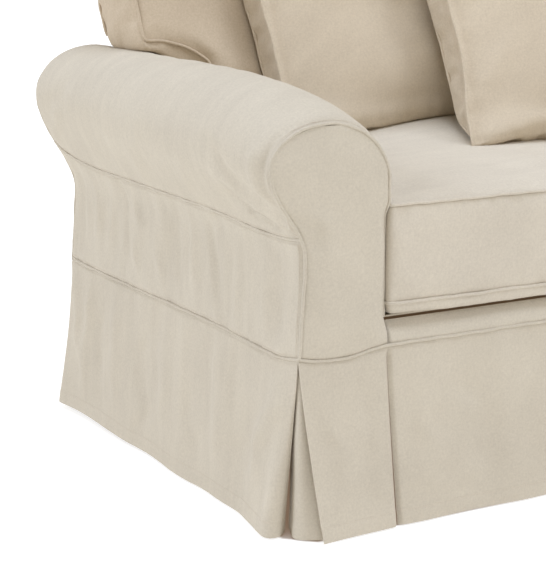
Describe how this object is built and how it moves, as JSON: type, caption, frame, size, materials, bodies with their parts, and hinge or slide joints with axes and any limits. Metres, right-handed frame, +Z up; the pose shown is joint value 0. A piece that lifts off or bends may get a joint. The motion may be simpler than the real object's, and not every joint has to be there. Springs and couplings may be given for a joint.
{
  "type": "sofa slipcover",
  "caption": "Fitted, skirted fabric cover for a rolled-arm sofa, with its loose seat, back and scatter cushions in the same cloth.",
  "frame": {"origin": "centre of the cover's footprint, at the height of the skirt's hem", "axes": "+X from the left arm to the right arm as seen from in front, +Y from the front to the back, +Z up"},
  "size_m": [1.8258, 0.941, 0.9628],
  "materials": {
    "cover_cloth": "plain weave, matte",
    "skirt_cloth": "plain weave, matte",
    "seat_cloth": "plain weave, matte",
    "back_cloth": "plain weave, matte",
    "pillow_cloth": "plain weave, matte"
  },
  "bodies": {
    "root": {"arm_sleeve_left": "cover_cloth", "arm_sleeve_right": "cover_cloth", "arm_side_left": "cover_cloth", "arm_side_right": "cover_cloth", "arm_front_left": "cover_cloth", "arm_front_right": "cover_cloth", "arm_back_left": "cover_cloth", "arm_back_right": "cover_cloth", "front_border": "cover_cloth", "deck": "cover_cloth", "inside_back": "cover_cloth", "outside_back": "cover_cloth", "back_top": "cover_cloth", "back_side_left": "cover_cloth", "back_side_right": "cover_cloth", "skirt_side_left": "skirt_cloth", "skirt_side_right": "skirt_cloth", "skirt_arm_front_left": "skirt_cloth", "skirt_arm_front_right": "skirt_cloth", "skirt_front": "skirt_cloth", "skirt_back": "skirt_cloth", "pleat_front_left": "skirt_cloth", "pleat_front_right": "skirt_cloth", "pleat_back_left": "skirt_cloth", "pleat_back_right": "skirt_cloth", "seat_cushion_left": "seat_cloth", "seat_cushion_right": "seat_cloth", "back_cushion_left": "back_cloth", "back_cushion_right": "back_cloth", "pillow_left": "pillow_cloth", "pillow_middle": "pillow_cloth", "pillow_right": "pillow_cloth"}
  },
  "joints": []
}
